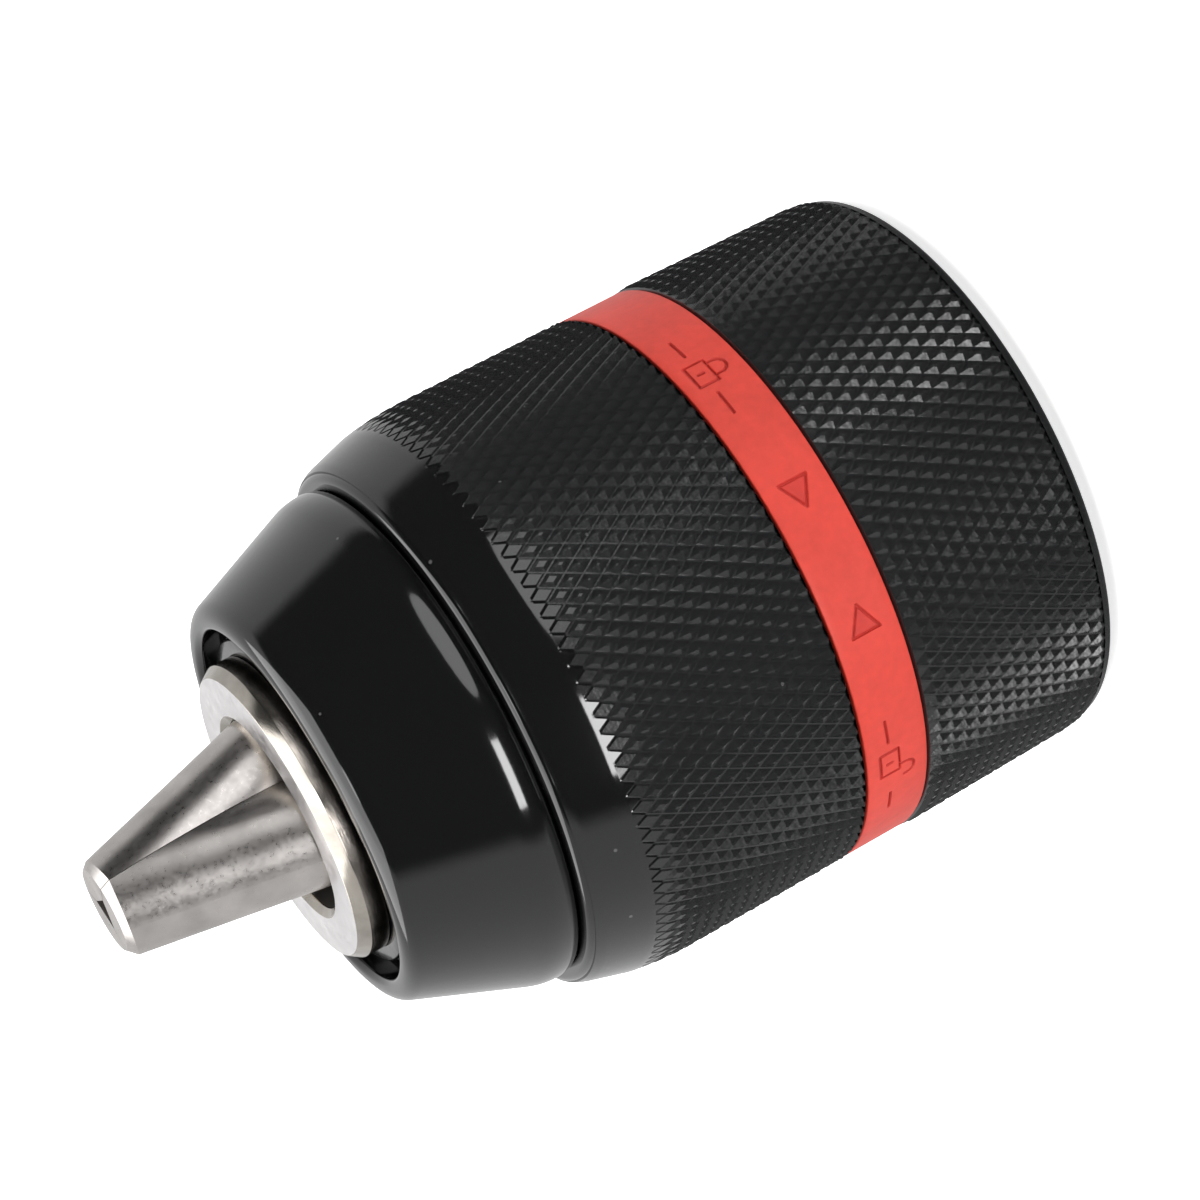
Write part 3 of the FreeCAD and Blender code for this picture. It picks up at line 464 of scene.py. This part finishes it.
def line_gap(p, a, b):
    """Distance from a point to a straight stroke."""
    ax, ay = b[0] - a[0], b[1] - a[1]
    along = ((p[0] - a[0]) * ax + (p[1] - a[1]) * ay) / (ax * ax + ay * ay)
    along = min(1, max(0, along))
    return math.hypot(p[0] - a[0] - along * ax, p[1] - a[1] - along * ay)


def path_gap(p, points):
    """Distance from a point to a chain of strokes."""
    return min(line_gap(p, points[k], points[k + 1]) for k in range(len(points) - 1))


def arch(middle_x, middle_y, radius, start, stop):
    """Points of an arch, from one angle to another in degrees."""
    return bend(middle_x, middle_y, radius, start, stop, 8)


def padlock(hinge):
    """Strokes of a padlock between two dashes: its case and keyhole, and a shackle swung open by hinge."""
    case = [(-1.05, -1.35), (1.05, -1.35), (1.05, 0.15), (-1.05, 0.15), (-1.05, -1.35)]
    free_end = 0.5 if hinge else 0.15
    shackle = [(-0.62 + hinge, 0.15)] + arch(hinge, 0.68, 0.62, 180, 0) + [(0.62 + hinge, free_end)]
    keyhole = [(0, -0.42), (0, -0.85)]
    dashes = [(-3.9, -0.6), (-2.0, -0.6)], [(2.0 + hinge, -0.6), (3.9 + hinge, -0.6)]
    return [case, shackle, keyhole, *dashes]


TRIANGLE_HALF = 1.07


def triangle(way):
    """Corners of a triangle whose tip points along the band."""
    return [(-way, -TRIANGLE_HALF), (way, 0), (-way, TRIANGLE_HALF), (-way, -TRIANGLE_HALF)]


# Each mark: its angle from the near side in degrees, half its length, its strokes and its patch.
MARKS = [
    (36.3, 4.3, padlock(0), None),
    (6.8, 1.5, [triangle(1)], triangle(1)),
    (-18.3, 1.5, [triangle(-1)], triangle(-1)),
    (-50.0, 5.6, padlock(1.24), None),
]


def mark_depth(azimuth, z):
    """Depth of the marks at a place on the band."""
    for middle_angle, reach, strokes, patch in MARKS:
        s = math.radians(middle_angle - azimuth) * BAND_RAD
        if abs(s) > reach:
            continue
        p = (s, BAND_MIDDLE - z)
        gap = min(path_gap(p, stroke) for stroke in strokes)
        sunk = MARK_DEPTH * min(1, max(0, (STROKE + STROKE_EDGE - gap) / (2 * STROKE_EDGE)))
        if patch:
            tip = patch[1][0]
            along = (tip - s) / (2 * tip)
            if 0 < along < 1 and abs(p[1]) < TRIANGLE_HALF * along:
                sunk = max(sunk, PATCH_DEPTH)
        return sunk
    return 0.0


FINE, COARSE, MARGIN = 0.16, 1.5, 0.3
angles = []
angle = -180.0
while angle < 180:
    close = any(abs(angle - m) * math.pi / 180 * BAND_RAD < reach + MARGIN for m, reach, _, _ in MARKS)
    angles.append(angle)
    angle += FINE if close else COARSE
heights = [17.1, 17.5, 17.85] + [17.95 + 0.055 * k for k in range(54)] + [20.95, 21.3, 21.68]
points, faces, sunk_faces = [], [], []
rows = [(20.2, BAND_REAR), (21.14, BAND_REAR), (21.22, 17.02)] + [(None, z) for z in heights]
rows += [(21.22, 21.8), (21.14, BAND_FRONT), (20.2, BAND_FRONT)]
depths = []
for azimuth in angles:
    turn = NEAR + math.radians(azimuth)
    for radius, z in rows:
        depth = 0.0
        if radius is None:
            depth = mark_depth(azimuth, z)
            radius = BAND_RAD - depth
        depths.append(depth)
        points.append(at(radius, turn, z))
count = len(rows)
for k in range(len(angles)):
    here, there = k * count, (k + 1) % len(angles) * count
    for i in range(count):
        j = (i + 1) % count
        faces.append((here + i, there + i, there + j, here + j))
        sunk_faces.append(max(depths[here + i], depths[here + j], depths[there + i]))
band = piece_from("indicator_band_marked", points, faces)
smooth_but_corners(band, 35)


def red_plastic(name, colour, roughness):
    """Matte red plastic with a fine mottle."""
    paint = bpy.data.materials.new(name)
    paint.use_nodes = True
    nodes, links = paint.node_tree.nodes, paint.node_tree.links
    shader = nodes["Principled BSDF"]
    shader.inputs["Specular IOR Level"].default_value = 0.35
    place = nodes.new("ShaderNodeTexCoord")
    mottle = nodes.new("ShaderNodeTexNoise")
    mottle.inputs["Scale"].default_value = 1400
    mottle.inputs["Detail"].default_value = 3
    cloud = nodes.new("ShaderNodeTexNoise")
    cloud.inputs["Scale"].default_value = 160
    tone = nodes.new("ShaderNodeMath")
    tone.operation = "ADD"
    tint = nodes.new("ShaderNodeMapRange")
    tint.inputs["From Min"].default_value = 0.7
    tint.inputs["From Max"].default_value = 1.3
    tint.inputs["To Min"].default_value = 0.90
    tint.inputs["To Max"].default_value = 1.10
    colours = nodes.new("ShaderNodeVectorMath")
    colours.operation = "SCALE"
    colours.inputs[0].default_value = colour
    bump = nodes.new("ShaderNodeBump")
    bump.inputs["Strength"].default_value = 0.12
    bump.inputs["Distance"].default_value = 0.0001
    shader.inputs["Roughness"].default_value = roughness
    for texture in (mottle, cloud):
        links.new(place.outputs["Object"], texture.inputs["Vector"])
    links.new(mottle.outputs["Fac"], tone.inputs[0])
    links.new(cloud.outputs["Fac"], tone.inputs[1])
    links.new(tone.outputs[0], tint.inputs["Value"])
    links.new(tint.outputs[0], colours.inputs["Scale"])
    links.new(colours.outputs["Vector"], shader.inputs["Base Color"])
    links.new(mottle.outputs["Fac"], bump.inputs["Height"])
    links.new(bump.outputs["Normal"], shader.inputs["Normal"])
    return paint


raised_red = red_plastic("band_red_plastic", (0.48, 0.032, 0.018), 0.46)
# The sunk marks get a darker red than the band: painted shade in their recesses. Their rougher finish is
# real.
sunk_red_painted_shade = red_plastic("band_red_sunk_painted_shade", (0.40, 0.022, 0.014), 0.62)
finish_with(band, raised_red, sunk_red_painted_shade)
for face, sunk in zip(band.data.polygons, sunk_faces):
    face.material_index = 1 if sunk > PATCH_DEPTH * 0.7 else 0
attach(band, "sleeve")
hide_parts("indicator_band")

# Chuck body: turned steel, nickel plated on its rim, with a satin face. Three slanted holes are
# bored for the jaws and the tail is tapped for the spindle.
body_outline = [
    (6.45, 0), (11.2, 0), (11.4, 0.2), (11.4, 2.5), (12.5, 2.5), (12.5, 20.5), (17.4, 20.5), (17.4, 23.4),
    (18.8, 23.4), (18.8, 24.3), (15.95, 24.3), (15.95, 25.1), (15.8, 25.1), (15.8, 27.8), (11.7, 27.8),
    (11.7, 34.2), (14.2, 34.2), (14.2, 42.0), (13.2, 42.0), (13.2, 50.5), (11.15, 50.5), (11.15, 52.3),
    (10.5, 52.3), (10.5, 53.5), (11.05, 53.5), (11.15, 53.6)]
body_outline += bend(11.03, 54.93, 0.12, 0, 34, 3)
body_outline += bend(10.54, 55.67, 0.08, 34, 90, 3)
body_outline += [(7.72, 55.75), (7.64, 55.72), (7.22, 55.3), (7.2, 55.2)]
body_outline += [(7.2, 20.5), (3.4, 20.5), (3.4, 16.5), (6.45, 16.5)]
chuck_body = turn_on_lathe("chuck_body_turned", body_outline)
INCLINE = math.radians(15.5)
HOLE_RAD, HOLE_LOW, HOLE_HIGH = 4.06, 6.0, 70.0
JAW_OFFSET, JAW_Z = 2.849, 55.9
for number in range(3):
    angle = 2 * math.pi * number / 3
    radial = Vector((math.cos(angle), math.sin(angle), 0))
    lean = (upright * math.cos(INCLINE) - radial * math.sin(INCLINE)).normalized()
    side = upright.cross(radial)
    shape = bmesh.new()
    bmesh.ops.create_cone(shape, cap_ends=True, segments=96,
                          radius1=HOLE_RAD / 1000, radius2=HOLE_RAD / 1000,
                          depth=(HOLE_HIGH - HOLE_LOW) / 1000 / math.cos(INCLINE))
    middle_z = (HOLE_LOW + HOLE_HIGH) / 2
    centre = radial * (JAW_OFFSET + (JAW_Z - middle_z) * math.tan(INCLINE)) + upright * middle_z
    place = Matrix.Translation(centre / 1000) @ Matrix((side.cross(lean), side, lean)).transposed().to_4x4()
    bmesh.ops.transform(shape, matrix=place, verts=shape.verts)
    drill = piece_from_shape("drill", shape)
    bore = chuck_body.modifiers.new("bore", "BOOLEAN")
    bore.object = drill
    bore.operation = "DIFFERENCE"
    bore.solver = "EXACT"
    with bpy.context.temp_override(object=chuck_body, active_object=chuck_body):
        bpy.ops.object.modifier_apply(modifier="bore")
    bpy.data.objects.remove(drill)

# The spindle's thread is a sleeve of fine rings whose radius follows the helix.
PITCH, THREAD_DEPTH, MINOR_RAD = 1.27, 0.62, 5.66
FLAT, FLANK = 0.12, 0.76
BORE_RAD, MOUTH_RAD, THREAD_TOP, THREAD_RUNOUT = 6.45, 6.36, 16.5, 0.8
heights = [0.7 + 0.1317 * k for k in range(121)]
around = 192
points, faces = [], []
for k in range(around):
    turn = k / around
    column = [(BORE_RAD, 0.0), (MOUTH_RAD, 0.0)]
    for z in heights:
        wave = abs((z / PITCH + turn) % 1.0 - 0.5) * 2
        cut = THREAD_DEPTH * min(1, max(0, (wave - FLAT) / FLANK)) * min(1, (THREAD_TOP - z) / THREAD_RUNOUT)
        column.append((MINOR_RAD + cut, z))
    column += [(MINOR_RAD, THREAD_TOP), (BORE_RAD, THREAD_TOP)]
    points += [at(r, 2 * math.pi * turn, z) for r, z in column]
count = len(column)
for k in range(around):
    here, there = k * count, (k + 1) % around * count
    faces += [(here + i, here + i + 1, there + i + 1, there + i) for i in range(count - 1)]
thread = piece_from("spindle_thread_cut", points, faces)
chuck_body = join(chuck_body, thread)
smooth_but_corners(chuck_body, 24)


def steel(name, colour, roughness, grain, strength=0.05, stain=0.12):
    """Bare metal. grain gives the scale of its fine scratches along x, y and z, strength how deep
    they look and stain how much its tone wanders."""
    metal = bpy.data.materials.new(name)
    metal.use_nodes = True
    nodes, links = metal.node_tree.nodes, metal.node_tree.links
    shader = nodes["Principled BSDF"]
    shader.inputs["Metallic"].default_value = 1
    place = nodes.new("ShaderNodeTexCoord")
    stretch = nodes.new("ShaderNodeMapping")
    stretch.inputs["Scale"].default_value = grain
    scratches = nodes.new("ShaderNodeTexNoise")
    scratches.inputs["Scale"].default_value = 1
    scratches.inputs["Detail"].default_value = 5
    scratches.inputs["Roughness"].default_value = 0.7
    blotches = nodes.new("ShaderNodeTexNoise")
    blotches.inputs["Scale"].default_value = 350
    blotches.inputs["Detail"].default_value = 4
    dull = nodes.new("ShaderNodeMapRange")
    dull.inputs["From Min"].default_value = 0.25
    dull.inputs["From Max"].default_value = 0.75
    dull.inputs["To Min"].default_value = roughness * 0.75
    dull.inputs["To Max"].default_value = roughness * 1.3
    tone = nodes.new("ShaderNodeMapRange")
    tone.inputs["From Min"].default_value = 0.3
    tone.inputs["From Max"].default_value = 0.7
    tone.inputs["To Min"].default_value = 1 - stain
    tone.inputs["To Max"].default_value = 1 + stain * 0.5
    colours = nodes.new("ShaderNodeVectorMath")
    colours.operation = "SCALE"
    colours.inputs[0].default_value = colour
    bump = nodes.new("ShaderNodeBump")
    bump.inputs["Strength"].default_value = strength
    bump.inputs["Distance"].default_value = 0.00002
    links.new(place.outputs["Object"], stretch.inputs["Vector"])
    links.new(stretch.outputs["Vector"], scratches.inputs["Vector"])
    links.new(place.outputs["Object"], blotches.inputs["Vector"])
    links.new(scratches.outputs["Fac"], dull.inputs["Value"])
    links.new(blotches.outputs["Fac"], tone.inputs["Value"])
    links.new(tone.outputs[0], colours.inputs["Scale"])
    links.new(dull.outputs[0], shader.inputs["Roughness"])
    links.new(colours.outputs["Vector"], shader.inputs["Base Color"])
    links.new(scratches.outputs["Fac"], bump.inputs["Height"])
    links.new(bump.outputs["Normal"], shader.inputs["Normal"])
    return metal


even, turned = (1500, 1500, 1500), (1500, 1500, 9000)
machined = steel("body_machined_steel", (0.30, 0.29, 0.28), 0.34, (400, 400, 4000))
satin_face = steel("body_satin_face", (0.80, 0.78, 0.78), 0.34, even, 0.03, 0.05)
# The rim and its chamfer are one nickel plating: the rim's darker colour is painted shade and the chamfer's
# paler colour is painted light.
nickel_rim_painted_shade = steel("body_nickel_rim", (0.36, 0.33, 0.30), 0.20, turned, 0.45, 0.80)
nickel_chamfer_painted_light = steel("body_nickel_chamfer", (0.48, 0.445, 0.395), 0.15, turned, 0.20, 0.30)
finish_with(chuck_body, machined, satin_face, nickel_rim_painted_shade, nickel_chamfer_painted_light)
MACHINED, FACE, RIM, CHAMFER = range(4)
RIM_FROM, RIM_INSIDE, CHAMFER_FROM, FACE_FROM = 53, 10.4, 54.9, 55.7
for face in chuck_body.data.polygons:
    radius, z = math.hypot(face.center.x, face.center.y) * 1000, face.center.z * 1000
    face.material_index = MACHINED
    if z > FACE_FROM and face.normal.z > 0.95:
        face.material_index = FACE
    elif z > CHAMFER_FROM:
        face.material_index = CHAMFER
    elif z > RIM_FROM and radius > RIM_INSIDE:
        face.material_index = RIM
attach(chuck_body, "body")
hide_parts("chuck_body")

# Jaws: hardened and ground steel, round, with a fine even grain. They slide in the body's holes.
jaw_steel = steel("jaw_ground_steel", (0.56, 0.53, 0.51), 0.31, (2600, 2600, 2600), 0.12, 0.20)
for name in ("jaw_1", "jaw_2", "jaw_3"):
    finish_with(bpy.data.objects[name], jaw_steel)

# Retaining ring: an open spring ring, blackened and oiled, in the groove behind the body's rim.
ring_outline = [(10.55, 52.5), (10.7, 52.35), (12.15, 52.35), (12.3, 52.5), (12.3, 53.3), (12.15, 53.45),
                (10.7, 53.45), (10.55, 53.3)]
RING_START, RING_SWEEP, RING_STEPS = 99.3, 341.4, 152
count = len(ring_outline)
points, faces = [], []
for k in range(RING_STEPS + 1):
    turn = math.radians(RING_START + RING_SWEEP * k / RING_STEPS)
    points += [at(r, turn, z) for r, z in ring_outline]
for k in range(RING_STEPS):
    here, there = k * count, (k + 1) * count
    for i in range(count):
        j = (i + 1) % count
        faces.append((here + i, there + i, there + j, here + j))
far_end = range(RING_STEPS * count, (RING_STEPS + 1) * count)
faces += [tuple(range(count)), tuple(reversed(far_end))]
ring = piece_from("retaining_ring_sprung", points, faces)
smooth_but_corners(ring, 50)
finish_with(ring, black_gloss("ring_black_oiled", 0.16, 0.12))
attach(ring, "body")
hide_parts("retaining_ring")

# Front bush: moulded black plastic, it centres the nose cone on the body.
bush_outline = [(11.2, 50.6), (11.25, 50.55), (13.25, 50.55), (13.3, 50.6)]
bush_outline += [(13.3, 52.0), (13.1, 52.2), (11.35, 52.2), (11.2, 52.05)]
bush = turn_on_lathe("front_bush_moulded", bush_outline, 192)
smooth_but_corners(bush, 40)
finish_with(bush, black_gloss("bush_black_plastic", 0.42, 0.2))
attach(bush, "body")
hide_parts("front_bush")

# Rear cover: a pressed steel disc, zinc plated, pushed on the boss of the body.
cover_outline = [(11.4, 1.3), (12.2, 1.3), (12.5, 1.5), (16.6, 1.5), (16.9, 1.3), (18.2, 1.3)]
cover_outline += bend(18.3, 1.6, 0.3, -90, 0, 5)
cover_outline += [(18.6, 2.5), (18.2, 2.5), (18.2, 1.9), (11.8, 1.9), (11.8, 2.5), (11.4, 2.5)]
cover = turn_on_lathe("rear_cover_pressed", cover_outline)
smooth_but_corners(cover, 28)
finish_with(cover, steel("cover_zinc", (0.62, 0.63, 0.64), 0.3, (500, 500, 500), 0.08, 0.2))
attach(cover, "body")
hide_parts("rear_cover")

# Inner works: nut, nut sleeve, thrust bearing and lock, hidden by the shells and the cone.
inner_finish = {
    "nut_half_a": steel("nut_case_hardened", (0.30, 0.29, 0.28), 0.36, (500, 500, 3000), 0.10, 0.3),
    "nut_sleeve": steel("sleeve_turned_steel", (0.50, 0.49, 0.48), 0.30, (300, 300, 6000), 0.10, 0.12),
    "rear_race": steel("race_ground_steel", (0.66, 0.65, 0.64), 0.16, (1200, 1200, 1200), 0.03, 0.08),
    "ball_cage": steel("cage_stamped_brass", (0.72, 0.50, 0.20), 0.30, (700, 700, 700), 0.06, 0.2),
    "bearing_balls": steel("ball_chrome_steel", (0.78, 0.78, 0.79), 0.06, (900, 900, 900), 0.01, 0.04),
    "ratchet_ring": steel("ratchet_hardened", (0.34, 0.33, 0.33), 0.34, (400, 400, 3000), 0.10, 0.25),
    "lock_pawl": steel("spring_blued_steel", (0.24, 0.27, 0.33), 0.22, (900, 900, 2000), 0.05, 0.2),
}
like = {"nut_half_b": "nut_half_a", "front_race": "rear_race", "detent_spring": "lock_pawl"}
for twin, first in like.items():
    inner_finish[twin] = inner_finish[first]
for name, finish in inner_finish.items():
    finish_with(bpy.data.objects[name], finish)
